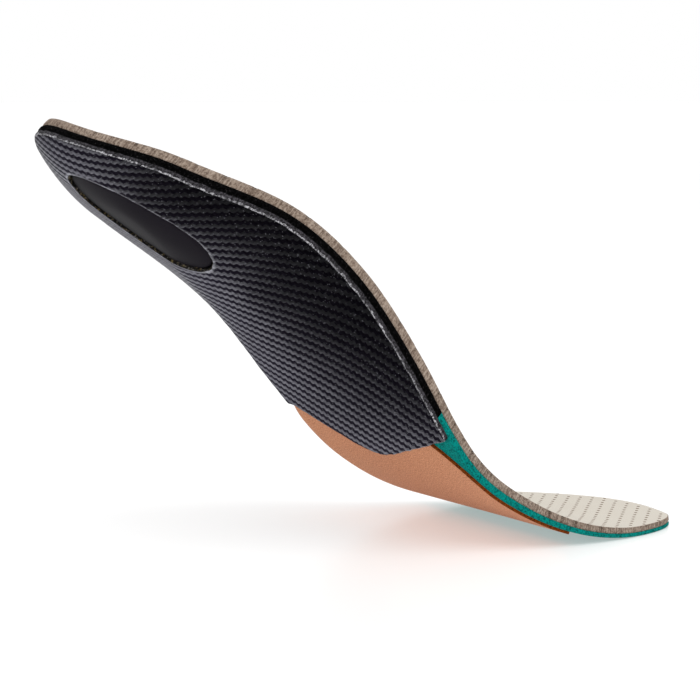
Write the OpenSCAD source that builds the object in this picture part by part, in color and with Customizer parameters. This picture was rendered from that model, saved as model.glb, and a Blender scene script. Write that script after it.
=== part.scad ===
// Foot orthosis: a full-length layered insole for a left shoe, flexed at the ball of the foot.
// The toe part lies on the floor and the heel is raised. +X is the inner (medial) side, +Y runs from
// heel to toe and +Z is up. The origin is on the floor, under the flat middle of the toe part.
//
// Every layer is first laid out flat, as a plan point (x, y) and a height above the layers' underside,
// and then bent round the ball of the foot.

/* [Outline] */
// Length of the flat insole, heel to toe
insole_length = 268; // [262:1:274]
// Length of the rounded heel end
heel_round = 40; // [36:1:42]
// Offset of the toe tip towards the inner side
toe_x = 11; // [6:1:14]

/* [Layers] */
// Thickness of the cover fabric
fabric_t = 0.5; // [0.4:0.1:0.8]
// Thickness of the foam under the cover fabric
foam_t = 2.3; // [2:0.1:3]
// Thickness of the heel cushion and of the forefoot cushion
cushion_t = 2.4; // [2:0.1:3]
// Thickness of the shell
shell_t = 1.4; // [1.2:0.1:2]
// Thickness of the forefoot lining
lining_t = 1; // [0.8:0.1:1.2]
// Share of its thickness that the cover loses towards the toe
cover_thinning = 0.3; // [0:0.05:0.4]
// Share of its thickness that the cushion loses towards the toe
cushion_thinning = 0.4; // [0:0.05:0.5]

/* [Heel window] */
// Distance from the heel end to the middle of the window
window_y = 45; // [42:1:48]
// Distance of the window from the middle of the heel, towards the outer side
window_shift = 2.2; // [0:0.1:4]
// Half width of the window
window_half_w = 15.6; // [12:0.1:16]
// Half length of the window
window_half_l = 27.8; // [22:0.2:28.4]
// Depth of the heel pad's face below the shell's outer face
pad_recess = 0.9; // [0.3:0.1:1]

/* [Bend] */
// Angle between the heel part and the toe part
bend_angle = 44; // [30:1:50]
// Where the bend starts, from the heel, square to the bend's axis
bend_start = 157; // [155:1:160]
// Where the bend ends and the flat toe part begins
bend_end = 241; // [238:1:243]
// Slant of the bend's axis: it runs forwards towards the inner side
axis_slant = 17; // [12:1:20]

/* [Lining] */
// Distance of the lining's long edges from the outline
lining_inset = 1; // [0.5:0.5:3]
// Width of the lining's rounded corner beside the shell, on the inner side
inner_corner_w = 11; // [2:1:12]
// Length of that corner
inner_corner_l = 23; // [20:1:26]
// Where the lining ends, square to the bend's axis
lining_end = 209.5; // [202:0.5:214]

/* [Hidden] */

// Plan of the two long edges: [y, x], from the heel's round to the toe's round
inner_edge = [[heel_round, 33.5], [75, 38.5], [110, 39.5], [150, 42.5], [193, 37.5]];
outer_edge = [[heel_round, -35], [85, -38], [125, -46.5], [171, -45.5]];
heel_x = (inner_edge[0][1] + outer_edge[0][1]) / 2;
// How square the toe's round is on each side: 2 is an ellipse
inner_toe_power = 1.92;
outer_toe_power = 2.45;

// Height of the layers' underside along the middle, and how much each edge rises above it: [y, z]
middle_z = [[0, -1.5], [40, 4.8], [85, 8], [125, 7], [160, 1.7], [190, 0]];
inner_rise = [[0, 5.8], [35, 10], [75, 18.5], [105, 17.8], [135, 10.7], [165, 4.4], [195, 1.3], [235, 0]];
outer_rise = [[0, 10], [35, 4.3], [85, 4.3], [130, 0.5], [170, 0]];
// How sharply the surface turns up at the heel and, past arch_y, at the inner and outer edges
heel_power = 1.5;
inner_power = 1.6;
outer_power = 2;
arch_y = 90;
// Share of the half width, past the middle, over which the arch's rise reaches
arch_reach = 0.95;

// Lines across the insole, as y at each share of the width from the inner edge to the outer one
cushion_joint = [[0, 154], [1, 128]];
shell_front = [[0, 161.5], [0.3, 162], [0.55, 162], [0.67, 156.5], [0.8, 146.5], [1, 134.5]];

// The axis of the bend crosses the middle line here
axis_y = 200;
bend_radius = (bend_end - bend_start) * 180 / (PI * bend_angle);
// The two flex lines stand at a quarter and three quarters of the bend, with a slit at each
rear_flex = bend_start + (bend_end - bend_start) / 4;
front_flex = bend_end - (bend_end - bend_start) / 4;
slit = 0.3;
// Where the layers thin out towards the toe
thinning_start = 175;
thinning_end = 255;
// The flat place under the toe part that the insole rests on
toe_rest = [4, 255, 0];

// Grid that all layers share: columns across, and rows in each stretch from one line to the next
columns = 14;
stretches = [8, 14, 2, 5, 1, 4, 2, 1, 9];
heel_stretch = 0;
toe_stretch = len(stretches) - 1;
// Row numbers of the lines
joint_row = 22;
shell_row = 24;
rear_flex_row = 29;
ball_row = 30;
lining_row = 34;
front_flex_row = 36;
toe_row = 37;
last_row = 46;
// Share of the width that the lining's inset may take where the insole is narrow
widest_inset = 0.16;
// Width and length of the lining's rounded corners beside the shell
inner_corner = [inner_corner_w, inner_corner_l];
outer_corner = [3, 8];
// Step for the surface's slope
slope_step = 0.5;

function mix(a, b, t) = a + (b - a) * t;
function clamp(low, high, v) = max(low, min(high, v));
function ease(a, b, v) = let (t = clamp(0, 1, (v - a) / (b - a))) t * t * (3 - 2 * t);

// A smooth curve through points [position, value], level at both ends
function curve_slope(points, i) =
    i == 0 || i == len(points) - 1 ? 0
    : (points[i + 1][1] - points[i - 1][1]) / (points[i + 1][0] - points[i - 1][0]);
function curve_span(points, v, i = 0) =
    i >= len(points) - 2 || v < points[i + 1][0] ? i : curve_span(points, v, i + 1);
function curve(points, v) =
    let (at = clamp(points[0][0], points[len(points) - 1][0], v),
         i = curve_span(points, at),
         step = points[i + 1][0] - points[i][0],
         t = (at - points[i][0]) / step)
    points[i][1] * (1 + 2 * t) * pow(1 - t, 2) + points[i + 1][1] * t * t * (3 - 2 * t)
    + step * (curve_slope(points, i) * t * pow(1 - t, 2) - curve_slope(points, i + 1) * t * t * (1 - t));

// x of a long edge at y, with the round ends of the heel and the toe
function edge_x(edge, toe_power, y) =
    let (last = edge[len(edge) - 1])
    y < heel_round ? mix(heel_x, edge[0][1], sqrt(max(0, 1 - pow(1 - y / heel_round, 2))))
    : y < last[0] ? curve(edge, y)
    : mix(toe_x, last[1],
          pow(max(0, 1 - pow((y - last[0]) / (insole_length - last[0]), toe_power)), 1 / toe_power));
function inner_x(y) = edge_x(inner_edge, inner_toe_power, y);
function outer_x(y) = edge_x(outer_edge, outer_toe_power, y);

// Distance of the lining's edge from the outline at y, with a rounded corner that starts at corner_y
function edge_inset(corner, corner_y, y) =
    let (width = inner_x(y) - outer_x(y), ahead = clamp(0, 1, (y - corner_y) / corner[1]))
    min(widest_inset * width, lining_inset + corner[0] * pow(1 - ahead, 2));

// x of a column at y: the first and last column follow the outline, the next ones the lining's edges
function column_x(column, y) =
    let (inner = inner_x(y), outer = outer_x(y),
         inner_line = inner - edge_inset(inner_corner, shell_front[0][1], y),
         outer_line = outer + edge_inset(outer_corner, shell_front[len(shell_front) - 1][1], y))
    column == 0 ? inner : column == columns ? outer
    : mix(inner_line, outer_line, (column - 1) / (columns - 2));

// Height of the layers' underside over the plan, before bending
function underside(x, y) =
    let (side_y = clamp(heel_round, insole_length, y),
         inner = curve(inner_edge, side_y), outer = curve(outer_edge, side_y),
         across = (x - (inner + outer) / 2) / ((inner - outer) / 2),
         back = max(0, 1 - y / heel_round),
         round = norm([across, back]),
         inner_share = ease(0, 1, 0.5 + 0.5 * across / max(round, 0.001)),
         arch = ease(heel_round, arch_y, y),
         reach = arch_reach * arch,
         up_in = curve(inner_rise, y), up_out = curve(outer_rise, y))
    curve(middle_z, y) + (y < heel_round
        ? mix(up_out, up_in, inner_share) * pow(round, heel_power)
        : up_in * pow(max(0, (across + reach) / (1 + reach)), mix(heel_power, inner_power, arch))
          + up_out * pow(max(0, -across), mix(heel_power, outer_power, arch)));

// Height per millimetre of layer thickness, which is more where the surface is steep
function steepness(x, y) =
    norm([1, (underside(x + slope_step, y) - underside(x - slope_step, y)) / (2 * slope_step),
             (underside(x, y + slope_step) - underside(x, y - slope_step)) / (2 * slope_step)]);

// Distance along the insole, square to the bend's axis, and back
function turned(p, a) =
    let (y = p.y - axis_y)
    [p.x * cos(a) - y * sin(a), p.x * sin(a) + y * cos(a) + axis_y, p.z];
// y at which a column crosses a line that runs along the bend's axis
function flex_y(line, column, y, tries = 8) =
    tries == 0 ? y
    : flex_y(line, column,
             axis_y + (line - axis_y + column_x(column, y) * sin(axis_slant)) / cos(axis_slant),
             tries - 1);

// y at which a column crosses a line given as y at each share of the width
function across_y(points, column, y, tries = 8) =
    tries == 0 ? y
    : let (inner = inner_x(y), outer = outer_x(y), share = (inner - column_x(column, y)) / (inner - outer))
      across_y(points, column, curve(points, share), tries - 1);

// Bends a flat point round the ball of the foot
function bent(p) =
    let (q = turned(p, -axis_slant),
         a = clamp(0, bend_angle, bend_angle * (bend_end - q.y) / (bend_end - bend_start)),
         behind = max(0, bend_start - q.y), ahead = max(0, q.y - bend_end),
         y = bend_end - bend_radius * sin(a) - behind * cos(a) + ahead,
         z = bend_radius * (1 - cos(a)) + behind * sin(a))
    turned([q.x, y + q.z * sin(a), z + q.z * cos(a)], axis_slant) - toe_rest;

// y of each line on a column, from the heel end to the toe tip
function lines(column) =
    [0, heel_round, across_y(cushion_joint, column, 140), across_y(shell_front, column, 155),
     flex_y(rear_flex - slit / 2, column, 175), flex_y(rear_flex + slit / 2, column, 175),
     flex_y(lining_end, column, 200),
     flex_y(front_flex - slit / 2, column, 220), flex_y(front_flex + slit / 2, column, 220),
     insole_length];
column_lines = [for (column = [0 : columns]) lines(column)];
stations = concat([for (k = [0 : toe_stretch], i = [0 : stretches[k] - 1]) [k, i / stretches[k]]],
                  [[toe_stretch, 1]]);
function station_y(station, column) =
    let (k = station[0], t = station[1],
         shaped = k == heel_stretch ? 1 - cos(90 * t) : k == toe_stretch ? sin(90 * t) : t)
    mix(column_lines[column][k], column_lines[column][k + 1], shaped);

// The shared grid: each point's plan position, underside height and steepness
grid = [for (station = stations) [for (column = [0 : columns])
    let (y = station_y(station, column), x = column_x(column, y))
    [x, y, underside(x, y), steepness(x, y)]]];

// Heights of the layers' faces above the underside, at y
function thinning(share, y) = 1 - share * ease(thinning_start, thinning_end, y);
function shell_face(y) = -shell_t;
function pad_face(y) = pad_recess - shell_t;
function lining_face(y) = -lining_t;
function layers_face(y) = 0;
function cushion_face(y) = cushion_t * thinning(cushion_thinning, y);
function foam_face(y) = cushion_face(y) + foam_t * thinning(cover_thinning, y);
function fabric_face(y) = foam_face(y) + fabric_t * thinning(cover_thinning, y);

function grid_point(row, column, face) =
    let (g = grid[row][column]) bent([g[0], g[1], g[2] + g[3] * face(g[1])]);

// Two triangles for the corners of a patch; at the heel end and the toe tip one of them vanishes
function triangles(a, b, c, d) =
    [for (t = [[a, b, c], [a, c, d]]) if (t[0] != t[1] && t[1] != t[2] && t[0] != t[2]) t];

// The part of a layer between two rows and two columns, from its low face to its high face
module layer(low, high, rows, cols = [0, columns]) {
    across = cols[1] - cols[0] + 1;
    count = (rows[1] - rows[0] + 1) * across;
    corner = function (row, column, top)
        (top ? count : 0) + (row - rows[0]) * across
        + (row == 0 || row == last_row ? 0 : column - cols[0]);
    points = [for (face = [low, high], row = [rows[0] : rows[1]], column = [cols[0] : cols[1]])
        grid_point(row, column, face)];
    sheets = [for (row = [rows[0] : rows[1] - 1], column = [cols[0] : cols[1] - 1])
        each concat(
            triangles(corner(row, column, true), corner(row, column + 1, true),
                      corner(row + 1, column + 1, true), corner(row + 1, column, true)),
            triangles(corner(row, column, false), corner(row + 1, column, false),
                      corner(row + 1, column + 1, false), corner(row, column + 1, false)))];
    long_edges = [for (row = [rows[0] : rows[1] - 1])
        each concat(
            triangles(corner(row, cols[0], false), corner(row, cols[0], true),
                      corner(row + 1, cols[0], true), corner(row + 1, cols[0], false)),
            triangles(corner(row, cols[1], true), corner(row, cols[1], false),
                      corner(row + 1, cols[1], false), corner(row + 1, cols[1], true)))];
    ends = [for (column = [cols[0] : cols[1] - 1])
        each concat(
            triangles(corner(rows[0], column, true), corner(rows[0], column, false),
                      corner(rows[0], column + 1, false), corner(rows[0], column + 1, true)),
            triangles(corner(rows[1], column, false), corner(rows[1], column, true),
                      corner(rows[1], column + 1, true), corner(rows[1], column + 1, false)))];
    polyhedron(points = points, faces = concat(sheets, long_edges, ends), convexity = 6);
}

// Places flat shapes of the rear part, which the bend carries round without changing their form
module on_rear_part() {
    knee = turned(bent(turned([0, bend_start, 0], axis_slant)) + toe_rest, -axis_slant);
    translate([0, axis_y, 0] - toe_rest) rotate([0, 0, axis_slant])
        translate([0, knee.y - axis_y, knee.z]) rotate([-bend_angle, 0, 0])
            translate([0, axis_y - bend_start, 0]) rotate([0, 0, -axis_slant])
                translate([0, -axis_y, 0]) children();
}

// The window's outline, as a block that passes through the shell
module window_block() {
    block_h = 30;
    sides = 40;
    on_rear_part() translate([heel_x - window_shift, window_y, 0])
        linear_extrude(height = block_h, center = true)
            polygon([for (i = [0 : sides - 1])
                [window_half_w * cos(i * 360 / sides), window_half_l * sin(i * 360 / sides)]]);
}

module cover_fabric(rows) {
    color("#d9d2c6") layer(function (y) foam_face(y), function (y) fabric_face(y), rows);
}

module cover_foam(rows) {
    color("#8f8176") layer(function (y) cushion_face(y), function (y) foam_face(y), rows);
}

module heel_cushion() {
    color("#16161a") layer(function (y) layers_face(y), function (y) cushion_face(y), [0, joint_row]);
}

module forefoot_cushion(rows) {
    color("#0f7f86") layer(function (y) layers_face(y), function (y) cushion_face(y), rows);
}

module shell() {
    color("#34343a") difference() {
        layer(function (y) shell_face(y), function (y) layers_face(y), [0, shell_row]);
        window_block();
    }
}

module heel_pad() {
    color("#1d1c20") intersection() {
        layer(function (y) pad_face(y), function (y) layers_face(y), [0, shell_row]);
        window_block();
    }
}

module lining(rows) {
    color("#bd8158")
        layer(function (y) lining_face(y), function (y) layers_face(y), rows, [1, columns - 1]);
}

cover_fabric([0, rear_flex_row]);  // cover_fabric_rear
cover_fabric([ball_row, front_flex_row]);  // cover_fabric_ball
cover_fabric([toe_row, last_row]);  // cover_fabric_toe
cover_foam([0, rear_flex_row]);  // cover_foam_rear
cover_foam([ball_row, front_flex_row]);  // cover_foam_ball
cover_foam([toe_row, last_row]);  // cover_foam_toe
heel_cushion();
forefoot_cushion([joint_row, rear_flex_row]);  // forefoot_cushion_rear
forefoot_cushion([ball_row, front_flex_row]);  // forefoot_cushion_ball
forefoot_cushion([toe_row, last_row]);  // forefoot_cushion_toe
shell();
heel_pad();
lining([shell_row, rear_flex_row]);  // lining_rear
lining([ball_row, lining_row]);  // lining_ball
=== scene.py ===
"""Looks of the foot orthosis: a layered insole for a left shoe, flexed at the ball of the foot.

Lengths are millimetres up to placed(), which gives metres in the frame of the CAD part. As in the CAD
source, each layer is laid out on the flat plan, x towards the inner side of the foot and y from heel to
toe, with heights above the layers' underside, and is then bent round the ball of the foot.
"""

from math import cos, hypot, pi, radians, sin

import bpy
import numpy as np
from mathutils import Matrix, Vector, noise
from mathutils.geometry import delaunay_2d_cdt
from mathutils.kdtree import KDTree


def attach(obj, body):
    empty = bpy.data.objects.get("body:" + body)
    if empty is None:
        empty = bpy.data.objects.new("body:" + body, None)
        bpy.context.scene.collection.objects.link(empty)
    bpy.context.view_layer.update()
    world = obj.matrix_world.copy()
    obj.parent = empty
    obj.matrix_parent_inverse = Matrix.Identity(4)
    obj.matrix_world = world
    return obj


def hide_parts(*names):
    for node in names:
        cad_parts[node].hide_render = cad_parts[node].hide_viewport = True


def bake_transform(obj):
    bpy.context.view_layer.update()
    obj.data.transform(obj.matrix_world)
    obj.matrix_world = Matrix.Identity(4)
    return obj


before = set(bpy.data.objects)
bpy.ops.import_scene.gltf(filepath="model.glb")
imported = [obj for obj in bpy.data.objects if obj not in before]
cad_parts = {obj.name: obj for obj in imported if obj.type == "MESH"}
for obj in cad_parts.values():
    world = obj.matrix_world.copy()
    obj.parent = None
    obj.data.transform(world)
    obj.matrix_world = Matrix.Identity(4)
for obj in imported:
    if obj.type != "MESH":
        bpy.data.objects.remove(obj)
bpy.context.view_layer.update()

MM = 0.001

# ---------------------------------------------------------------- the flat plan, as in the CAD source

INSOLE_LENGTH = 268
HEEL_ROUND = 40
TOE_X = 11
INNER_EDGE = [(HEEL_ROUND, 33.5), (75, 38.5), (110, 39.5), (150, 42.5), (193, 37.5)]
OUTER_EDGE = [(HEEL_ROUND, -35), (85, -38), (125, -46.5), (171, -45.5)]
HEEL_X = (INNER_EDGE[0][1] + OUTER_EDGE[0][1]) / 2
INNER_TOE_POWER = 1.92
OUTER_TOE_POWER = 2.45

MIDDLE_Z = [(0, -1.5), (40, 4.8), (85, 8), (125, 7), (160, 1.7), (190, 0)]
INNER_RISE = [(0, 5.8), (35, 10), (75, 18.5), (105, 17.8), (135, 10.7), (165, 4.4), (195, 1.3), (235, 0)]
OUTER_RISE = [(0, 10), (35, 4.3), (85, 4.3), (130, 0.5), (170, 0)]
HEEL_POWER = 1.5
INNER_POWER = 1.6
OUTER_POWER = 2
ARCH_Y = 90
ARCH_REACH = 0.95

FABRIC_T = 0.5
FOAM_T = 2.3
CUSHION_T = 2.4
SHELL_T = 1.4
LINING_T = 1
COVER_THINNING = 0.3
CUSHION_THINNING = 0.4
THINNING = (175, 255)
PAD_RECESS = 0.9
SHELL_CHAMFER = 0.45

BEND_ANGLE = radians(44)
BEND_START = 157
BEND_END = 241
BEND_RADIUS = (BEND_END - BEND_START) / BEND_ANGLE
AXIS_Y = 200
AXIS_SLANT = radians(17)
TOE_REST = np.array([4, 255, 0])

# Lines across the insole, as y at each share of the width from the inner edge to the outer one
CUSHION_JOINT = [(0, 154), (1, 128)]
SHELL_FRONT = [(0, 161.5), (0.3, 162), (0.55, 162), (0.67, 156.5), (0.8, 146.5), (1, 134.5)]
# How often a line's y is worked out again, because the width that its shares are of depends on it
LINE_TRIES = 12
# Lines along the bend's axis: the layers' middle, where two pieces of each meet, and the lining's end
BALL_LINE = (BEND_START + BEND_END) / 2
LINING_END = 209.5
LINING_INSET = 1
# Width and length of the lining's rounded corners beside the shell
INNER_CORNER = (11, 23)
OUTER_CORNER = (3, 8)
WINDOW_MIDDLE = (HEEL_X - 2.2, 45)
WINDOW_HALF = (15.6, 27.8)


def ease(a, b, v):
    t = np.clip((v - a) / (b - a), 0, 1)
    return t * t * (3 - 2 * t)


def curve(points, v):
    """A smooth curve through points (position, value), level at both ends."""
    at, value = np.array(points, float).T
    slope = np.zeros(len(at))
    slope[1:-1] = (value[2:] - value[:-2]) / (at[2:] - at[:-2])
    v = np.clip(v, at[0], at[-1])
    i = np.clip(np.searchsorted(at, v, side="right") - 1, 0, len(at) - 2)
    step = at[i + 1] - at[i]
    t = (v - at[i]) / step
    level = value[i] * (1 + 2 * t) * (1 - t) ** 2 + value[i + 1] * t * t * (3 - 2 * t)
    return level + step * (slope[i] * t * (1 - t) ** 2 - slope[i + 1] * t * t * (1 - t))


def edge_x(edge, toe_power, y):
    """x of a long edge at y, with the round ends of the heel and the toe."""
    last_y, last_x = edge[-1]
    heel = HEEL_X + (edge[0][1] - HEEL_X) * np.sqrt(np.clip(1 - (1 - y / HEEL_ROUND) ** 2, 0, 1))
    ahead = np.clip((y - last_y) / (INSOLE_LENGTH - last_y), 0, 1)
    toe = TOE_X + (last_x - TOE_X) * (1 - ahead**toe_power) ** (1 / toe_power)
    return np.where(y < HEEL_ROUND, heel, np.where(y < last_y, curve(edge, y), toe))


def inner_x(y):
    return edge_x(INNER_EDGE, INNER_TOE_POWER, np.asarray(y, float))


def outer_x(y):
    return edge_x(OUTER_EDGE, OUTER_TOE_POWER, np.asarray(y, float))


def underside(x, y):
    """Height of the layers' underside over the plan, before bending."""
    side_y = np.clip(y, HEEL_ROUND, INSOLE_LENGTH)
    inner, outer = curve(INNER_EDGE, side_y), curve(OUTER_EDGE, side_y)
    across = (x - (inner + outer) / 2) / ((inner - outer) / 2)
    back = np.maximum(0, 1 - y / HEEL_ROUND)
    out = np.hypot(across, back)
    inner_share = ease(0, 1, 0.5 + 0.5 * across / np.maximum(out, 0.001))
    arch = ease(HEEL_ROUND, ARCH_Y, y)
    reach = ARCH_REACH * arch
    up_in, up_out = curve(INNER_RISE, y), curve(OUTER_RISE, y)
    heel = (up_out + (up_in - up_out) * inner_share) * out**HEEL_POWER
    inner_power = HEEL_POWER + (INNER_POWER - HEEL_POWER) * arch
    outer_power = HEEL_POWER + (OUTER_POWER - HEEL_POWER) * arch
    inner_side = np.maximum(0, (across + reach) / (1 + reach)) ** inner_power
    outer_side = np.maximum(0, -across) ** outer_power
    return curve(MIDDLE_Z, y) + np.where(y < HEEL_ROUND, heel, up_in * inner_side + up_out * outer_side)


def steepness(x, y, h=0.5):
    """Height per millimetre of layer thickness, which is more where the surface is steep."""
    slope_x = (underside(x + h, y) - underside(x - h, y)) / (2 * h)
    slope_y = (underside(x, y + h) - underside(x, y - h)) / (2 * h)
    return np.sqrt(1 + slope_x**2 + slope_y**2)


def turned(x, y, angle):
    """Turns a plan point about the place where the bend's axis crosses the middle line."""
    ahead = y - AXIS_Y
    return x * cos(angle) - ahead * sin(angle), x * sin(angle) + ahead * cos(angle) + AXIS_Y


def bent(x, y, z):
    """Bends flat points round the ball of the foot and puts the toe part's rest at the origin."""
    qx, qy = turned(x, y, -AXIS_SLANT)
    angle = np.clip((BEND_END - qy) / BEND_RADIUS, 0, BEND_ANGLE)
    behind, ahead = np.maximum(0, BEND_START - qy), np.maximum(0, qy - BEND_END)
    along = BEND_END - BEND_RADIUS * np.sin(angle) - behind * np.cos(angle) + ahead
    up = BEND_RADIUS * (1 - np.cos(angle)) + behind * np.sin(angle)
    px, py = turned(qx, along + z * np.sin(angle), AXIS_SLANT)
    return np.stack([px, py, up + z * np.cos(angle)], -1) - TOE_REST


def placed(x, y, height):
    """The place in metres of points at heights above the layers' underside."""
    return bent(x, y, underside(x, y) + steepness(x, y) * height) * MM


# Heights of the layers' faces above the underside, at y


def thinning(share, y):
    return 1 - share * ease(*THINNING, y)


def shell_face(y):
    return -SHELL_T + 0 * y


def pad_face(y):
    return PAD_RECESS - SHELL_T + 0 * y


def lining_face(y):
    return -LINING_T + 0 * y


def layers_face(y):
    return 0 * y


def cushion_face(y):
    return CUSHION_T * thinning(CUSHION_THINNING, y)


def foam_face(y):
    return cushion_face(y) + FOAM_T * thinning(COVER_THINNING, y)


def fabric_face(y):
    return foam_face(y) + FABRIC_T * thinning(COVER_THINNING, y)


# ---------------------------------------------------------------- outlines of the pieces on the plan


# An inset gives the distance of a piece's edge, "inner" or "outer", from the insole's outline at y


def whole(edge, y):
    """No inset: the piece reaches the insole's outline."""
    return 0 * y


def lining_inset(edge, y):
    """The lining's inset, with a rounded corner next to the shell."""
    inner = edge == "inner"
    size, length = INNER_CORNER if inner else OUTER_CORNER
    corner_y = SHELL_FRONT[0 if inner else -1][1]
    return LINING_INSET + size * (1 - np.clip((y - corner_y) / length, 0, 1)) ** 2


def across_line(points):
    """A line across the insole that a list of (share of the width, y) gives."""

    def y_at(share, inset=whole):
        y = curve(points, share)
        for _ in range(LINE_TRIES):
            inner, outer = inner_x(y), outer_x(y)
            y = curve(points, (inner - share_x(share, y, inset)) / (inner - outer))
        return y

    return y_at


def flex_line(line):
    """A line across the insole along the bend's axis."""

    def y_at(share, inset=whole):
        y = np.full(np.shape(share), float(line))
        for _ in range(LINE_TRIES):
            y = AXIS_Y + (line - AXIS_Y + share_x(share, y, inset) * sin(AXIS_SLANT)) / cos(AXIS_SLANT)
        return y

    return y_at


def share_x(share, y, inset=whole):
    """x at a share of the piece's own width, from its inner edge."""
    inner, outer = inner_x(y) - inset("inner", y), outer_x(y) + inset("outer", y)
    return inner + (outer - inner) * share


def resampled(line, step):
    """A polyline's points at equal steps of about that length, its ends kept."""
    run = np.concatenate([[0], np.cumsum(np.hypot(*np.diff(line, axis=0).T))])
    at = np.linspace(0, run[-1], max(2, round(run[-1] / step)) + 1)
    return np.stack([np.interp(at, run, line[:, 0]), np.interp(at, run, line[:, 1])], -1)


SIDE_SAMPLES = 1500
END_SAMPLES = 400
OVAL_SAMPLES = 721


def side(edge, y0, y1, inset=whole):
    """A long edge from y0 to y1 as a dense polyline. It follows the round ends evenly."""
    turn = np.linspace(0, pi, SIDE_SAMPLES)
    y = y0 + (y1 - y0) * (1 - np.cos(turn)) / 2
    x = inner_x(y) - inset(edge, y) if edge == "inner" else outer_x(y) + inset(edge, y)
    return np.stack([x, y], -1)


def outline(start, end, step, inset=whole, free_ends=()):
    """The closed outline of a piece between two lines, where no line means the insole's own end.

    It gives the points, anticlockwise, and the outward step of each. An end that isn't free butts
    against another piece."""
    shares = np.linspace(0, 1, END_SAMPLES)
    y0 = start(np.array([0.0, 1.0]), inset) if start else (0, 0)
    y1 = end(np.array([0.0, 1.0]), inset) if end else (INSOLE_LENGTH, INSOLE_LENGTH)
    up, down = side("inner", y0[0], y1[0], inset), side("outer", y1[1], y0[1], inset)

    def end_line(line, along):
        y = line(along, inset)
        return np.stack([share_x(along, y, inset), y], -1)

    if not start:
        stretches = [(end_line(end, shares), "end"), (np.concatenate([down, up[1:]]), "side")]
    elif not end:
        stretches = [(end_line(start, shares[::-1]), "start"), (np.concatenate([up, down[1:]]), "side")]
    else:
        stretches = [
            (up, "side"), (end_line(end, shares), "end"), (down, "side"),
            (end_line(start, shares[::-1]), "start"),
        ]
    lines = [resampled(line, step)[:-1] for line, _ in stretches]
    points = np.concatenate(lines)
    firsts = np.cumsum([0] + [len(line) for line in lines])
    for (_, kind), first, last in zip(stretches, firsts, firsts[1:]):
        if kind in free_ends:
            round_corner(points, first)
            round_corner(points, last)
    out = outward(points)
    for (_, kind), first, last in zip(stretches, firsts, firsts[1:]):
        if kind != "side" and kind not in free_ends:
            slide_along(points, out, first, last - first)
    return points, out


CORNER_POINTS = 4


def round_corner(points, corner):
    """Rounds off a loop's corner, over CORNER_POINTS points each way."""
    index = (corner + np.arange(-CORNER_POINTS, CORNER_POINTS + 1)) % len(points)
    start, middle, end = points[index[[0, CORNER_POINTS, -1]]]
    t = np.linspace(0, 1, len(index))[:, None]
    points[index] = (1 - t) ** 2 * start + 2 * t * (1 - t) * middle + t * t * end


MITRE_LIMIT = 0.5


def outward(points):
    """The outward step at each point of an anticlockwise loop, mitred at its corners."""
    to_here, to_next = unit(points - np.roll(points, 1, 0)), unit(np.roll(points, -1, 0) - points)
    mean = unit(to_here + to_next)
    out = right_of(mean)
    return out / np.maximum((out * right_of(to_next)).sum(1, keepdims=True), MITRE_LIMIT)


def right_of(direction):
    """Directions turned a quarter clockwise."""
    return np.stack([direction[..., 1], -direction[..., 0]], -1)


BUTT_REACH = 2.5


def slide_along(points, out, first, count):
    """Along an end that butts against another piece the steps run only along that end, near its corners."""
    index = (first + np.arange(count + 1)) % len(points)
    line = points[index]
    run = np.concatenate([[0], np.cumsum(np.hypot(*np.diff(line, axis=0).T))])
    side_before = right_of(unit(line[0] - points[first - 1]))
    side_after = right_of(unit(points[(index[-1] + 1) % len(points)] - line[-1]))
    back, ahead = unit(line[0] - line[1]), unit(line[-1] - line[-2])
    near_first = np.clip(1 - run / BUTT_REACH, 0, 1)
    near_last = np.clip(1 - (run[-1] - run) / BUTT_REACH, 0, 1)
    out[index] = np.outer(near_first, back / (back @ side_before)) + np.outer(
        near_last, ahead / (ahead @ side_after)
    )


def unit(v):
    """Vectors scaled to length 1."""
    return v / np.maximum(np.linalg.norm(v, axis=-1, keepdims=True), 1e-9)


def oval(half_w, half_l, step, inwards):
    """The outline of the heel window. Its outward steps point into the window for the piece round it."""
    turn = np.linspace(0, 2 * pi, OVAL_SAMPLES)
    line = np.stack([half_w * np.cos(turn), half_l * np.sin(turn)], -1) + WINDOW_MIDDLE
    points = resampled(line, step)[:-1]
    out = right_of(unit(np.roll(points, -1, 0) - np.roll(points, 1, 0)))
    return points, -out if inwards else out


# ---------------------------------------------------------------- meshes

HOLE_RADIUS = 0.6
HOLE_SIDES = 10
HOLE_PITCH = 3.6
HOLE_ROW_PITCH = 4.4
HOLE_ROW_ANGLE = radians(-59)
HOLE_MARGIN = 0.35
HOLE_JITTER = 0.12
JITTER_PER_MM = 0.37
# Two levels of the noise, far apart: one for each direction
JITTER_LEVELS = (0.5, 40.5)
HOLES_ALONG = 90
HOLES_ACROSS = 75


def hole_lattice():
    """The perforations' places: rows along a slanting line, over more than the whole insole."""
    along = np.array([sin(HOLE_ROW_ANGLE), cos(HOLE_ROW_ANGLE)])
    across = right_of(along)
    i, j = np.meshgrid(np.arange(-HOLES_ALONG, HOLES_ALONG + 1), np.arange(-HOLES_ACROSS, HOLES_ACROSS + 1))
    middle = np.array([0, INSOLE_LENGTH / 2])
    places = i.reshape(-1, 1) * HOLE_PITCH * along + j.reshape(-1, 1) * HOLE_ROW_PITCH * across + middle
    jitter = np.array(
        [[noise.noise(Vector((x, y, z))) for z in JITTER_LEVELS] for x, y in places * JITTER_PER_MM]
    )
    return places + HOLE_JITTER * jitter


def tree_of(points):
    """A search tree of plan points."""
    tree = KDTree(len(points))
    for i, (x, y) in enumerate(points):
        tree.insert((x, y, 0), i)
    tree.balance()
    return tree


def distances(tree, points):
    """The distance from each plan point to the nearest one in a tree."""
    return np.array([tree.find((x, y, 0))[2] for x, y in points]) if len(points) else np.zeros(0)


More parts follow.
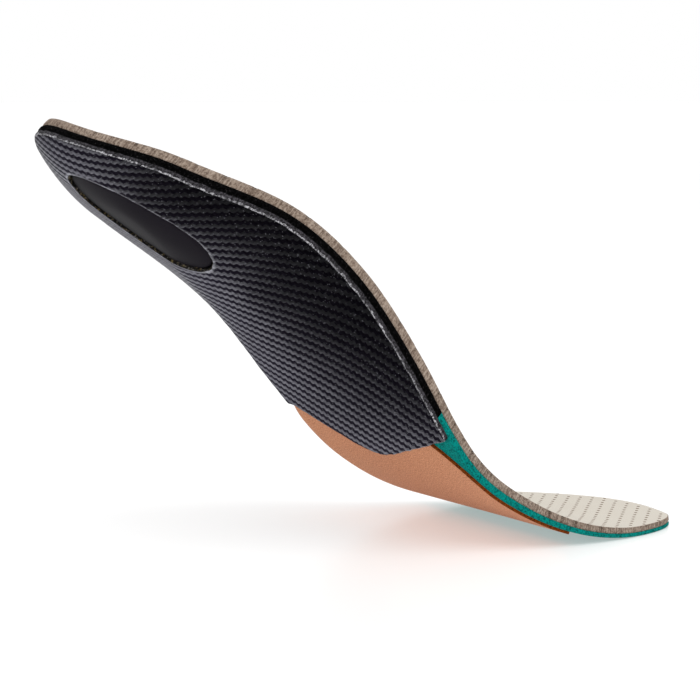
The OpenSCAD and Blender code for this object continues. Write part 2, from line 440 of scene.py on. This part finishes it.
def inside(points, loop):
    """Which points lie within a closed polyline."""
    x, y = points[:, 0], points[:, 1]
    hit = np.zeros(len(points), bool)
    ahead = np.roll(loop, -1, 0)
    for (x0, y0), (x1, y1) in zip(loop, ahead):
        if y0 != y1:
            crosses = (y0 > y) != (y1 > y)
            hit ^= crosses & (x < (x1 - x0) * (y - y0) / (y1 - y0) + x0)
    return hit


HEX = np.array([[1, 0], [0.5, 0.866]])
FACE_LATTICE = 2 * HEX
# Least distance between a face's inner points and its edges, as a share of the lattice's spacing
CLEARANCE = 0.65


def filling(loops, steps, keep_off):
    """Points of a lattice inside the first loop and outside the others, clear of the points keep_off."""
    low, high = loops[0].min(0), loops[0].max(0)
    spacing = np.linalg.norm(steps, axis=1).min()
    # Enough lattice steps each way to cover the loop's diagonal
    reach = int(hypot(*(high - low)) / spacing / 1.2) + 2
    i, j = np.meshgrid(np.arange(-reach, reach + 1), np.arange(-reach, reach + 1))
    points = (low + high) / 2 + i.reshape(-1, 1) * steps[0] + j.reshape(-1, 1) * steps[1]
    points = points[((points > low) & (points < high)).all(1)]
    points = points[inside(points, loops[0])]
    for loop in loops[1:]:
        points = points[~inside(points, loop)]
    return points[distances(tree_of(keep_off), points) > CLEARANCE * spacing]


# The kind of output that delaunay_2d_cdt makes: what lies inside its edges
CDT_INSIDE = 1
CDT_EPSILON = 1e-6


def triangulated(loops, extra):
    """Triangles between the first loop and the others, as indices into the loops' points and then extra.

    The other loops are convex, so a triangle with three corners on one of them lies in that window."""
    points = np.concatenate([*loops, extra])
    edges, first = [], 0
    for loop in loops:
        n = len(loop)
        edges += [(first + k, first + (k + 1) % n) for k in range(n)]
        first += n
    found = delaunay_2d_cdt([Vector(p) for p in points], edges, [], CDT_INSIDE, CDT_EPSILON)
    owner = np.repeat(np.arange(len(loops) + 1), [*(len(loop) for loop in loops), len(extra)])
    owner[owner == len(loops)] = 0
    faces = [[found[3][k][0] for k in face] for face in found[2]]
    return [f for f in faces if owner[f[0]] == 0 or len({owner[k] for k in f}) > 1]


def placed_piece(name, x, y, height, faces, kinds, crease):
    """An object made of points over the flat plan. Its attribute "flat" keeps them for the finishes."""
    mesh = bpy.data.meshes.new(name)
    mesh.from_pydata(placed(x, y, height).tolist(), [], faces)
    mesh.polygons.foreach_set("material_index", kinds)
    flat = mesh.attributes.new("flat", "FLOAT_VECTOR", "POINT")
    flat.data.foreach_set("vector", np.stack([x, y, height], -1).astype(np.float32).ravel())
    mesh.shade_smooth()
    mesh.set_sharp_from_angle(angle=radians(crease))
    mesh.update()
    piece = bpy.data.objects.new(name, mesh)
    bpy.context.scene.collection.objects.link(piece)
    return piece


# Numbers of a slab's materials
HIGH_FACE, WALL, LOW_FACE, WINDOW_WALL, HOLE_WALL = range(5)


def slab(
    name, loops, low, high, profile, low_lattice=FACE_LATTICE, holes=None, hole_floor=None, rough=None,
    relief=None, crease=38,
):
    """A layer between two faces as one closed mesh.

    loops are (points, outward steps), the outline first and then any window. profile is the section of
    the wall from the high face to the low one, as (distance outwards, share of the thickness). holes are
    centres of perforations that start at the high face and end at share hole_floor, or pass through.
    rough(points, share) is how far the wall is pushed out, relief(x, y) is the depth of the low face's
    pattern, and edges sharper than crease degrees stay sharp."""
    plan, share, faces, kinds = [], [], [], []

    def add(points, up):
        first = sum(len(p) for p in plan)
        plan.append(np.asarray(points, float))
        share.append(np.full(len(points), float(up)))
        return first

    edge_high, edge_low, ends = [], [], []
    for number, (points, out) in enumerate(loops):
        n, rings = len(points), []
        for k, (away, up) in enumerate(profile):
            push = np.full(n, float(away))
            if rough and 0 < k < len(profile) - 1:
                push += rough(points, up)
            ring = points + out * push[:, None]
            rings.append(add(ring, up))
            if k == 0:
                edge_high.append(ring)
            if k == len(profile) - 1:
                edge_low.append(ring)
        ends.append((rings[0], rings[-1]))
        for a, b in zip(rings, rings[1:]):
            for k in range(n):
                m = (k + 1) % n
                faces.append((a + k, b + k, b + m, a + m))
                kinds.append(WINDOW_WALL if number else WALL)
    through = holes is not None and hole_floor is None
    rounds = []
    if holes is not None and len(holes):
        turn = np.arange(HOLE_SIDES) * 2 * pi / HOLE_SIDES
        ring = HOLE_RADIUS * np.stack([np.cos(turn), np.sin(turn)], -1)
        rounds = [centre + ring for centre in holes]

    def face(up, edges, starts, pierced, flip, kind, steps):
        """Fills the high or the low face. It gives where each perforation's points start."""
        round_starts = [add(r, up) for r in rounds] if pierced else []
        closed = [*edges, *(rounds if pierced else [])]
        extra = filling(edges, steps, np.concatenate(closed))
        extra_start = add(extra, up)
        index = np.concatenate(
            [np.arange(s, s + len(c)) for s, c in zip([*starts, *round_starts], closed)]
            + [np.arange(extra_start, extra_start + len(extra))]
        )
        for triangle in triangulated(closed, extra):
            corners = [int(index[k]) for k in triangle]
            faces.append(corners[::-1] if flip else corners)
            kinds.append(kind)
        return round_starts

    tops = face(1, edge_high, [e[0] for e in ends], bool(rounds), False, HIGH_FACE, FACE_LATTICE)
    bottoms = face(0, edge_low, [e[1] for e in ends], bool(rounds) and through, True, LOW_FACE, low_lattice)
    if rounds and not through:
        bottoms = [add(r, hole_floor) for r in rounds]
        for b in bottoms:
            faces.append([b + k for k in range(HOLE_SIDES)])
            kinds.append(HOLE_WALL)
    for t, b in zip(tops, bottoms):
        for k in range(HOLE_SIDES):
            m = (k + 1) % HOLE_SIDES
            faces.append((t + k, t + m, b + m, b + k))
            kinds.append(HOLE_WALL)
    plan, share = np.concatenate(plan), np.concatenate(share)
    x, y = plan.T
    height = low(y) + (high(y) - low(y)) * share
    if relief:
        height = height + np.where(share == 0, relief(x, y), 0)
    return placed_piece(name, x, y, height, faces, kinds, crease)


# ---------------------------------------------------------------- camera, floor and light

CAMERA_AT = (0.672032, -0.327732, 0.164028)
CAMERA_AZIMUTH = radians(71.508)
CAMERA_ELEVATION = radians(7.946)
CAMERA_ROLL = radians(0.378)
CAMERA_LENS = 109.56
CAMERA_SENSOR = 36
CAMERA_SEES = 50


def camera():
    """The photograph's view: azimuth 0 looks along +Y and 90 degrees along -X."""
    level = cos(CAMERA_ELEVATION)
    look = Vector((-sin(CAMERA_AZIMUTH) * level, cos(CAMERA_AZIMUTH) * level, -sin(CAMERA_ELEVATION)))
    right = look.cross(Vector((0, 0, 1))).normalized()
    turn = Matrix.Rotation(-CAMERA_ROLL, 3, look)
    right, up = turn @ right, turn @ right.cross(look)
    data = bpy.data.cameras.new("camera")
    data.lens = CAMERA_LENS
    data.sensor_width = CAMERA_SENSOR
    data.clip_end = CAMERA_SEES
    eye = bpy.data.objects.new("camera", data)
    eye.matrix_world = Matrix.Translation(CAMERA_AT) @ Matrix((right, up, -look)).transposed().to_4x4()
    bpy.context.scene.collection.objects.link(eye)
    bpy.context.scene.camera = eye


KEY_AT = (0.45, -0.1, 1.1)
KEY_TOWARDS = (0, -0.05, 0.03)
KEY_SIDE = 0.9
KEY_WATTS = 5


def key_light():
    """A large soft light above."""
    data = bpy.data.lights.new("key", "AREA")
    data.shape = "RECTANGLE"
    data.size = data.size_y = KEY_SIDE
    data.energy = KEY_WATTS
    lamp = bpy.data.objects.new("key", data)
    lamp.location = KEY_AT
    lamp.rotation_mode = "QUATERNION"
    lamp.rotation_quaternion = (Vector(KEY_TOWARDS) - Vector(KEY_AT)).to_track_quat("-Z", "Y")
    bpy.context.scene.collection.objects.link(lamp)


# Strength of the room's even light, and half the band in which it fades at the horizon
ROOM = 0.76
HORIZON = 0.02
# Gloss sees a bright wall beyond the object, down below the floor: its direction, where it starts and is
# full (as cosines), and its strength at these
WALL_TOWARDS = (-0.83, 0.13, -0.55)
WALL_FADES = (0.765, 0.955)
WALL_STRENGTH = (0.045, 1.3)


def room_light():
    """An even white room. Below the floor there is a wall that only gloss sees."""
    world = bpy.data.worlds.new("studio")
    bpy.context.scene.world = world
    world.use_nodes = True
    nodes, links = world.node_tree.nodes, world.node_tree.links
    background = nodes["Background"]
    background.inputs["Color"].default_value = (1, 1, 1, 1)
    place = nodes.new("ShaderNodeTexCoord").outputs["Generated"]

    def along(vector, values):
        dot = nodes.new("ShaderNodeVectorMath")
        dot.operation = "DOT_PRODUCT"
        dot.inputs[1].default_value = vector
        links.new(place, dot.inputs[0])
        fade = nodes.new("ShaderNodeMapRange")
        fade.interpolation_type = "SMOOTHSTEP"
        for socket, value in zip(fade.inputs[1:5], values):
            socket.default_value = value
        links.new(dot.outputs["Value"], fade.inputs[0])
        return fade.outputs[0]

    def mixed(share, a, b):
        node = nodes.new("ShaderNodeMix")
        node.data_type = "FLOAT"
        for socket, value in zip((node.inputs[0], node.inputs[2], node.inputs[3]), (share, a, b)):
            if isinstance(value, bpy.types.NodeSocket):
                links.new(value, socket)
            else:
                socket.default_value = value
        return node.outputs[0]

    wall = along(WALL_TOWARDS, (*WALL_FADES, *WALL_STRENGTH))
    above = along((0, 0, 1), (-HORIZON, HORIZON, 0, 1))
    room = mixed(above, wall, ROOM)
    seen = nodes.new("ShaderNodeLightPath").outputs["Is Camera Ray"]
    links.new(mixed(seen, room, 1), background.inputs["Strength"])


# ---------------------------------------------------------------- finishes


def rgb(text):
    """A colour as #rrggbb, in the linear values that shaders take."""
    values = [int(text[k : k + 2], 16) / 255 for k in (1, 3, 5)]
    return (*[v / 12.92 if v <= 0.04045 else ((v + 0.055) / 1.055) ** 2.4 for v in values], 1)


class Finish:
    """A material made of nodes, with a short call for each kind of node that the finishes use."""

    def __init__(self, name, **sockets):
        self.material = bpy.data.materials.new(name)
        self.material.use_nodes = True
        self.nodes, self.links = self.material.node_tree.nodes, self.material.node_tree.links
        self.shader = self.nodes["Principled BSDF"]
        self.flat = self.node("ShaderNodeAttribute", attribute_name="flat").outputs["Vector"]
        for socket, value in sockets.items():
            self.set(socket.replace("_", " "), value)

    def put(self, socket, value):
        """Feeds a socket from another one, or gives it a value."""
        if isinstance(value, bpy.types.NodeSocket):
            self.links.new(value, socket)
        else:
            socket.default_value = value

    def set(self, socket, value):
        self.put(self.shader.inputs[socket], value)

    def node(self, kind, *inputs, **settings):
        node = self.nodes.new(kind)
        for key, value in settings.items():
            setattr(node, key, value)
        for socket, value in zip(node.inputs, inputs):
            self.put(socket, value)
        return node

    def math(self, operation, *inputs):
        return self.node("ShaderNodeMath", *inputs, operation=operation).outputs[0]

    def vector_math(self, operation, *inputs, output="Vector"):
        return self.node("ShaderNodeVectorMath", *inputs, operation=operation).outputs[output]

    def dot(self, vector):
        """The place on the flat plan times a vector, as one number."""
        return self.vector_math("DOT_PRODUCT", self.flat, vector, output="Value")

    def stretched(self, by):
        return self.vector_math("MULTIPLY", self.flat, by)

    def noise(self, by, detail=2, roughness=0.5):
        """Noise from 0 to 1. by is how many cycles it has per millimetre along x, y and height."""
        made = self.node("ShaderNodeTexNoise", self.stretched(by))
        made.inputs["Scale"].default_value = 1
        made.inputs["Detail"].default_value = detail
        made.inputs["Roughness"].default_value = roughness
        return made.outputs[0]

    def cells(self, by):
        """Distance to the nearest of scattered points, with by points per millimetre each way."""
        made = self.node("ShaderNodeTexVoronoi", self.stretched(by))
        made.inputs["Scale"].default_value = 1
        return made.outputs["Distance"]

    def span(self, value, low, high, to_low=0, to_high=1):
        """A value that passes from to_low at low to to_high at high, smoothly."""
        node = self.node("ShaderNodeMapRange", value, low, high, to_low, to_high)
        node.interpolation_type = "SMOOTHSTEP"
        return node.outputs[0]

    def mix(self, share, a, b):
        node = self.node("ShaderNodeMix", data_type="RGBA")
        for index, value in ((0, share), (6, a), (7, b)):
            self.put(node.inputs[index], value)
        return node.outputs[2]

    def bump(self, height, millimetres, strength=1):
        node = self.node("ShaderNodeBump")
        self.put(node.inputs["Strength"], strength)
        self.put(node.inputs["Distance"], millimetres * MM)
        self.put(node.inputs["Height"], height)
        return node.outputs[0]


def cover_fabric_finish():
    """Greige microfibre: a fine nap with faint clouds."""
    f = Finish(
        "cover_fabric", Roughness=0.9, Specular_IOR_Level=0.15, Sheen_Weight=0.2, Sheen_Roughness=0.5
    )
    nap = f.noise((5, 5, 5), detail=3)
    cloud = f.noise((0.12, 0.12, 0.12))
    colour = f.mix(f.span(nap, 0.3, 0.7), rgb("#d0c8bb"), rgb("#e2dcd0"))
    colour = f.mix(f.span(cloud, 0.3, 0.7, 0, 0.35), colour, rgb("#d6cdc0"))
    f.set("Base Color", colour)
    f.set("Normal", f.bump(nap, 0.12, 0.6))
    return f.material


def cover_foam_finish():
    """Taupe foam with a knife-cut edge: fine streaks through its thickness over an open grain."""
    f = Finish("cover_foam", Roughness=0.95, Specular_IOR_Level=0.1)
    streaks = f.noise((1.9, 1.9, 0.08), detail=1)
    grain = f.noise((1.5, 1.5, 1.5), detail=2, roughness=0.7)
    broad = f.noise((0.2, 0.2, 0.1))
    colour = f.mix(f.span(grain, 0.3, 0.7), rgb("#625247"), rgb("#ab9a8c"))
    colour = f.mix(f.span(streaks, 0.34, 0.5, 0.55, 0), colour, rgb("#604f44"))
    colour = f.mix(f.span(streaks, 0.52, 0.68, 0, 0.5), colour, rgb("#bbab9d"))
    colour = f.mix(f.span(broad, 0.35, 0.65, 0, 0.12), colour, rgb("#a08b7a"))
    f.set("Base Color", colour)
    height = f.math("ADD", f.math("MULTIPLY", streaks, 0.5), f.math("MULTIPLY", grain, 0.5))
    f.set("Normal", f.bump(height, 0.5, 0.9))
    return f.material


def punched_finish():
    """The walls of the perforations: the foam's brown, which on the pale fabric's hole walls is painted shade
    inside the holes.
    """
    f = Finish("punched_foam", Roughness=0.95, Specular_IOR_Level=0.1)
    # Painted shade: the fabric's hole walls get this brown so that the holes read dark
    f.set("Base Color", f.mix(f.noise((4, 4, 4)), rgb("#8d7463"), rgb("#b8a08e")))
    return f.material


def black_foam_finish():
    """Black foam with a cut edge: an open grain and a few grey flecks."""
    f = Finish("black_foam", Roughness=0.95, Specular_IOR_Level=0.03)
    grain = f.noise((1.5, 1.5, 1.5), detail=2, roughness=0.7)
    colour = f.mix(f.span(grain, 0.4, 0.7), rgb("#020202"), rgb("#0f0e0f"))
    flecks = f.noise((1.7, 1.7, 1.7), detail=1)
    f.set("Base Color", f.mix(f.span(flecks, 0.64, 0.74), colour, rgb("#2c2a2b")))
    f.set("Normal", f.bump(grain, 0.4, 0.9))
    return f.material


def teal_foam_finish():
    """Teal foam: saturated, with dark specks painted as the shade in the pits of cut cells."""
    f = Finish("teal_foam", Roughness=0.9, Specular_IOR_Level=0.08)
    grain = f.noise((1.5, 1.5, 1.5), detail=2, roughness=0.7)
    patches = f.noise((0.4, 0.4, 0.4))
    # Painted shade: the darker specks stand for shade in the foam's cut cells
    colour = f.mix(f.span(grain, 0.36, 0.6), rgb("#004f4c"), rgb("#008c84"))
    colour = f.mix(f.span(patches, 0.35, 0.7, 0, 0.3), colour, rgb("#009c92"))
    f.set("Base Color", colour)
    f.set("Normal", f.bump(grain, 0.5, 0.9))
    return f.material


def carbon_finish():
    """Two-over-two twill: the tows that run across the insole are painted lighter as a painted sheen, and the
    long ones darker as painted shade, for how their fibres reflect.

    A few small specks are painted bright as glints, and a thin ring round the heel window is painted bright
    as a highlight along its arris."""
    f = Finish("carbon", Metallic=1, Specular_Tint=rgb("#b6b6ba"))
    across_number = f.math("FLOOR", f.dot((*TOW_WAVES[0], 0)))
    long_number = f.math("FLOOR", f.dot((*TOW_WAVES[1], 0)))
    turn = f.math("FLOORED_MODULO", f.math("ADD", across_number, long_number), 4)
    across_on_top = f.math("LESS_THAN", turn, 1.5)
    fibres_across = f.noise((0.5, 2.5, 1), detail=2)
    fibres_long = f.noise((2.5, 0.5, 1), detail=2)
    # Painted sheen and shade: the tows across get a lighter base colour than the long ones, for how their
    # fibres reflect
    light = f.mix(f.span(fibres_across, 0.3, 0.7), rgb("#636268"), rgb("#87868d"))
    dark = f.mix(f.span(fibres_long, 0.3, 0.7), rgb("#27232c"), rgb("#3a3641"))
    colour = f.mix(across_on_top, dark, light)
    # Painted glints: small scattered specks painted bright, and bumped a little
    glint_specks = f.span(f.cells((0.8, 0.8, 0.8)), 0.07, 0.2, 1, 0)
    # Painted highlight: a thin ring round the heel window, along its arris, painted bright
    from_window = f.vector_math("SUBTRACT", f.flat, (*WINDOW_MIDDLE, 0))
    shares = [1 / (half + SHELL_CHAMFER) for half in WINDOW_HALF]
    reach = f.vector_math("LENGTH", f.vector_math("MULTIPLY", from_window, (*shares, 0)), output="Value")
    bright = f.math("MAXIMUM", glint_specks, f.span(reach, 1.01, 1.05, 1, 0))
    f.set("Base Color", f.mix(bright, colour, rgb("#aeaeb5")))
    f.set("Roughness", f.span(across_on_top, 0, 1, 0.42, 0.25))
    f.set("Normal", f.bump(glint_specks, 0.15, 1))
    return f.material


def ground_edge_finish():
    """The shell's edge, ground to the outline: rough dark grey, with a painted highlight along its arris,
    broken into stretches.
    """
    f = Finish("shell_edge", Roughness=0.7, Specular_IOR_Level=0.3)
    grain = f.noise((1.6, 1.6, 1.6), detail=2, roughness=0.75)
    colour = f.mix(f.span(grain, 0.4, 0.62), rgb("#080709"), rgb("#464349"))
    breaks = f.noise((1.9, 1.9, 1.9), detail=1)
    stretches = f.noise((0.12, 0.12, 0.12), detail=1)
    ragged = f.math("MULTIPLY_ADD", f.noise((0.8, 0.8, 0.2), detail=2, roughness=0.7), 1.4, -0.4 - SHELL_T)
    arris = f.math("LESS_THAN", f.dot((0, 0, 1)), ragged)
    # Painted highlight: the arris is painted near white in broken stretches
    broken_highlight = f.math("MULTIPLY", f.span(breaks, 0.42, 0.58, 0.12, 1), f.span(stretches, 0.35, 0.6, 0.5, 1))
    painted_arris_highlight = f.math("MULTIPLY", arris, broken_highlight)
    f.set("Base Color", f.mix(painted_arris_highlight, colour, rgb("#c4c3c8")))
    f.set("Normal", f.bump(grain, 0.5, 1))
    return f.material


def window_rim_finish():
    """The window's rough cut wall: black, with grey and yellowish fibre ends, and a painted highlight along
    its arris.
    """
    f = Finish("window_rim", Roughness=0.6, Specular_IOR_Level=0.3)
    grain = f.noise((1.3, 1.3, 1.3), detail=2, roughness=0.75)
    tint = f.noise((0.6, 0.6, 0.6))
    ends = f.mix(f.span(tint, 0.4, 0.6), rgb("#7d7873"), rgb("#7f6f45"))
    colour = f.mix(f.span(grain, 0.52, 0.64), rgb("#070606"), ends)
    # Painted highlight: a grey band along the arris next to the shell's face
    arris = f.span(f.dot((0, 0, 1)), 0.14 - SHELL_T, 0.06 - SHELL_T)
    f.set("Base Color", f.mix(arris, colour, rgb("#4a494e")))
    f.set("Normal", f.bump(grain, 0.5, 1))
    return f.material


def pad_finish():
    """Smooth satin rubber."""
    f = Finish("pad_rubber", Roughness=0.55, Specular_IOR_Level=0.05)
    grain = f.noise((4, 4, 4), detail=2)
    f.set("Base Color", f.mix(f.span(grain, 0.3, 0.7), rgb("#151119"), rgb("#1d1822")))
    f.set("Normal", f.bump(grain, 0.05, 0.5))
    return f.material


def leather_finish():
    """Copper-tan split leather: short matte nap with soft patches."""
    f = Finish(
        "lining_leather", Roughness=0.85, Specular_IOR_Level=0.15, Sheen_Weight=0.1, Sheen_Roughness=0.4
    )
    nap = f.noise((1.9, 1.9, 1.9), detail=2, roughness=0.75)
    patches = f.noise((0.2, 0.2, 0.2), detail=3)
    colour = f.mix(f.span(nap, 0.3, 0.7), rgb("#aa6741"), rgb("#e0a27c"))
    colour = f.mix(f.span(patches, 0.35, 0.7, 0, 0.3), colour, rgb("#c98a66"))
    f.set("Base Color", colour)
    f.set("Normal", f.bump(nap, 0.35, 0.7))
    return f.material


def leather_edge_finish():
    """The leather's cut edge: darker, more orange fibres."""
    f = Finish("lining_edge", Roughness=0.8, Specular_IOR_Level=0.1)
    fibres = f.noise((1.4, 1.4, 3), detail=2, roughness=0.7)
    f.set("Base Color", f.mix(f.span(fibres, 0.36, 0.64), rgb("#521f05"), rgb("#97490f")))
    f.set("Normal", f.bump(fibres, 0.3, 0.8))
    return f.material


FLOOR_GREY = 0.8
FLOOR_GLOW = 0.36
FLOOR_ROUGHNESS = 0.25
FLOOR_HALF = 6
# Just below the object's lowest points, in metres
FLOOR_LEVEL = -0.0001


def floor_finish():
    """A lit white table top: its own glow drowns all but the nearest shadows and reflections."""
    material = bpy.data.materials.new("floor")
    material.use_nodes = True
    shader = material.node_tree.nodes["Principled BSDF"]
    shader.inputs["Base Color"].default_value = (FLOOR_GREY, FLOOR_GREY, FLOOR_GREY, 1)
    shader.inputs["Roughness"].default_value = FLOOR_ROUGHNESS
    shader.inputs["Emission Color"].default_value = (1, 1, 1, 1)
    shader.inputs["Emission Strength"].default_value = FLOOR_GLOW
    return material


def floor():
    """A plain pale floor. Gloss doesn't see it, but the bright wall beyond."""
    mesh = bpy.data.meshes.new("floor")
    corners = [(x * FLOOR_HALF, y * FLOOR_HALF, FLOOR_LEVEL) for x, y in ((-1, -1), (1, -1), (1, 1), (-1, 1))]
    mesh.from_pydata(corners, [], [(0, 1, 2, 3)])
    ground = bpy.data.objects.new("floor", mesh)
    ground.data.materials.append(floor_finish())
    ground.visible_glossy = False
    bpy.context.scene.collection.objects.link(ground)


# ---------------------------------------------------------------- the pieces

# Waves per millimetre, on the plan, of the tows that run across the insole and of the long ones
TOW_WAVES = np.array([[-0.12, 0.745], [-0.6, -0.005]])
TOW_STEPS = np.linalg.inv(TOW_WAVES).T
TOW_CROWN = 0.04
TOW_LIFT = 0.035


def twill(x, y):
    """Depth of the woven relief: crowned tows that pass over two and under two."""
    a, b = TOW_WAVES @ np.stack([x, y])
    crown_a = TOW_CROWN * (1 - (2 * (a % 1) - 1) ** 2)
    crown_b = TOW_CROWN * (1 - (2 * (b % 1) - 1) ** 2)
    top_a = crown_a + TOW_LIFT * np.sin(pi * (b + np.floor(a)) / 2)
    top_b = crown_b - TOW_LIFT * np.sin(pi * (a + np.floor(b)) / 2)
    return -np.maximum(top_a, top_b) + TOW_CROWN / 2


def grain(amount, per_mm, up_waves=0.0):
    """A wall's roughness: noise along the wall that changes over the thickness by up_waves."""

    def push(points, up):
        return amount * np.array(
            [noise.noise(Vector((x * per_mm, y * per_mm, up * up_waves))) for x, y in points]
        )

    return push


def together(*parts):
    """Several kinds of roughness on one wall."""
    return lambda points, up: sum(part(points, up) for part in parts)


def nicks(places):
    """Grooves where the outline cuts through perforations."""
    tree = tree_of(places)

    def push(points, up):
        near = distances(tree, points)
        return -np.sqrt(np.maximum(0, HOLE_RADIUS**2 - near**2))

    return push


def holes_within(loop, places):
    """The perforations that lie whole inside an outline, clear of it by a margin."""
    places = places[inside(places, loop)]
    near = distances(tree_of(loop), places)
    return places[near > HOLE_RADIUS + HOLE_MARGIN]


def wavering(loop, amount, per_mm):
    """A loop cut by hand: it strays outwards and inwards by up to about that amount."""
    points, out = loop
    return points + out * grain(amount, per_mm)(points, 0)[:, None], out


def soft_wall(bulge, top_round, low_round):
    """The wall of a foam layer, from its high face to its low one: rounded arrises and a bulge low down."""
    return [
        (-top_round, 1), (-0.35 * top_round, 0.96), (0, 0.86), (0.8 * bulge, 0.65), (bulge, 0.45),
        (0.5 * bulge, 0.28), (-0.12 * low_round, 0.14), (-0.45 * low_round, 0.05), (-low_round, 0),
    ]


def on_bend(line):
    """A place on the middle of the underside at a line along the bend's axis, in metres."""
    x, y = turned(0.0, line, AXIS_SLANT)
    return tuple(bent(np.array(x), np.array(y), np.array(0.0)) * MM)


# The two halves of a layer that crosses the ball of the foot: their CAD parts, and the bodies and the places
# where each one's share of the bend starts and ends
REAR_HALF = (("rear", "ball"), ("rearfoot", "ball", on_bend(BEND_START), on_bend(BALL_LINE)))
FRONT_HALF = (("ball", "toe"), ("ball", "toe", on_bend(BALL_LINE), on_bend(BEND_END)))


def finished(piece, finishes, nodes, body=None, bend=None):
    """Gives a piece its materials, hides the CAD nodes it stands for, and parents it to the body it moves
    with; a piece given a bend is instead baked where it stands.

    finishes are in the order of a slab's materials."""
    for material in finishes:
        piece.data.materials.append(material)
    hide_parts(*nodes)
    if bend:
        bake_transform(piece)
    else:
        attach(piece, body)


def parts_of(layer, parts):
    return [f"{layer}_{part}" for part in parts]


bpy.context.scene.view_settings.view_transform = "Standard"
camera()
room_light()
key_light()
floor()

ball_line = flex_line(BALL_LINE)
lining_end = flex_line(LINING_END)
joint_line = across_line(CUSHION_JOINT)
shell_line = across_line(SHELL_FRONT)

fabric = cover_fabric_finish()
taupe = cover_foam_finish()
punched = punched_finish()
black = black_foam_finish()
teal = teal_foam_finish()
carbon = carbon_finish()
ground = ground_edge_finish()
rim = window_rim_finish()
rubber = pad_finish()
leather = leather_finish()
leather_edge = leather_edge_finish()

# Step along the outlines: finer where the wall is rough foam
STEP = 0.4
FINE_STEP = 0.25
PAD_GAP = 0.65

# Sections of the walls, as slab() takes them
FABRIC_WALL = [(-0.3, 1), (-0.12, 0.9), (-0.03, 0.6), (0, 0.1), (0, 0)]
SHELL_WALL = [(0, 1), (0, 0.9), (-0.03, 0.6), (-0.08, 0.3), (-0.16, 0.12), (-SHELL_CHAMFER, 0)]
PAD_WALL = [(0, 1), (0, 0.5), (-0.1, 0.2), (-0.35, 0)]
LEATHER_WALL = [(0, 1), (0, 0.8), (-0.02, 0.3), (-0.1, 0.1), (-0.25, 0)]

lattice = hole_lattice()
cut_holes = nicks(lattice)
for end_name, start, end, (parts, bend) in (
    ("heel", None, ball_line, REAR_HALF), ("toe", ball_line, None, FRONT_HALF),
):
    loop = outline(start, end, FINE_STEP)
    holes = holes_within(loop[0], lattice)
    piece = slab(
        f"perforated_fabric_{end_name}", [loop], foam_face, fabric_face, FABRIC_WALL,
        holes=holes, rough=together(grain(0.05, 2.2), cut_holes),
    )
    finished(
        piece, [fabric, taupe, fabric, fabric, punched],
        parts_of("cover_fabric", parts), bend=bend,
    )
    piece = slab(
        f"cover_foam_layer_{end_name}", [loop], cushion_face, foam_face, soft_wall(0.08, 0.05, 0.3),
        holes=holes, hole_floor=0.35,
        rough=together(grain(0.06, 0.8, 0.6), grain(0.16, 2.1, 0.3), cut_holes),
    )
    finished(piece, [taupe] * 4 + [punched], parts_of("cover_foam", parts), bend=bend)

piece = slab(
    "black_arch_cushion", [outline(None, joint_line, FINE_STEP)], layers_face, cushion_face,
    soft_wall(0.25, 0.15, 0.15), rough=together(grain(0.14, 0.9, 1), grain(0.16, 2.6, 3)),
)
finished(piece, [black] * 5, ["heel_cushion"], body="rearfoot")

for end_name, start, end, (parts, bend) in (
    ("rear", joint_line, ball_line, REAR_HALF), ("front", ball_line, None, FRONT_HALF),
):
    piece = slab(
        f"teal_forefoot_cushion_{end_name}", [outline(start, end, FINE_STEP)], layers_face, cushion_face,
        soft_wall(0.2, 0.35, 0.4), rough=together(grain(0.12, 0.9, 1), grain(0.12, 2.6, 3)),
    )
    finished(piece, [teal] * 5, parts_of("forefoot_cushion", parts), bend=bend)

shell_loops = [outline(None, shell_line, STEP, free_ends=("end",)), oval(*WINDOW_HALF, STEP, inwards=True)]
piece = slab(
    "carbon_twill_shell",
    [wavering(shell_loops[0], 0.35, 0.3), wavering(shell_loops[1], 0.3, 0.3)],
    shell_face, layers_face, SHELL_WALL, low_lattice=TOW_STEPS / 4, relief=twill, crease=75,
    rough=together(grain(0.12, 1.5, 2), grain(0.1, 3, 3)),
)
finished(piece, [black, ground, carbon, rim, black], ["shell"], bend=REAR_HALF[1])

pad_half = [half - PAD_GAP for half in WINDOW_HALF]
piece = slab(
    "heel_window_pad", [oval(*pad_half, STEP, inwards=False)], pad_face, layers_face, PAD_WALL,
)
finished(piece, [rubber] * 5, ["heel_pad"], body="rearfoot")

for end_name, start, end, free_ends, nodes, (_, bend) in (
    ("rear", shell_line, ball_line, (), ["lining_rear", "lining_ball"], REAR_HALF),
    ("front", ball_line, lining_end, ("end",), ["lining_ball"], FRONT_HALF),
):
    loop = outline(start, end, STEP, inset=lining_inset, free_ends=free_ends)
    piece = slab(
        f"leather_forefoot_lining_{end_name}", [loop], lining_face, layers_face, LEATHER_WALL,
        rough=together(grain(0.06, 1, 1), grain(0.05, 3, 3)),
    )
    finished(piece, [leather, leather_edge, leather, leather, leather], nodes, bend=bend)
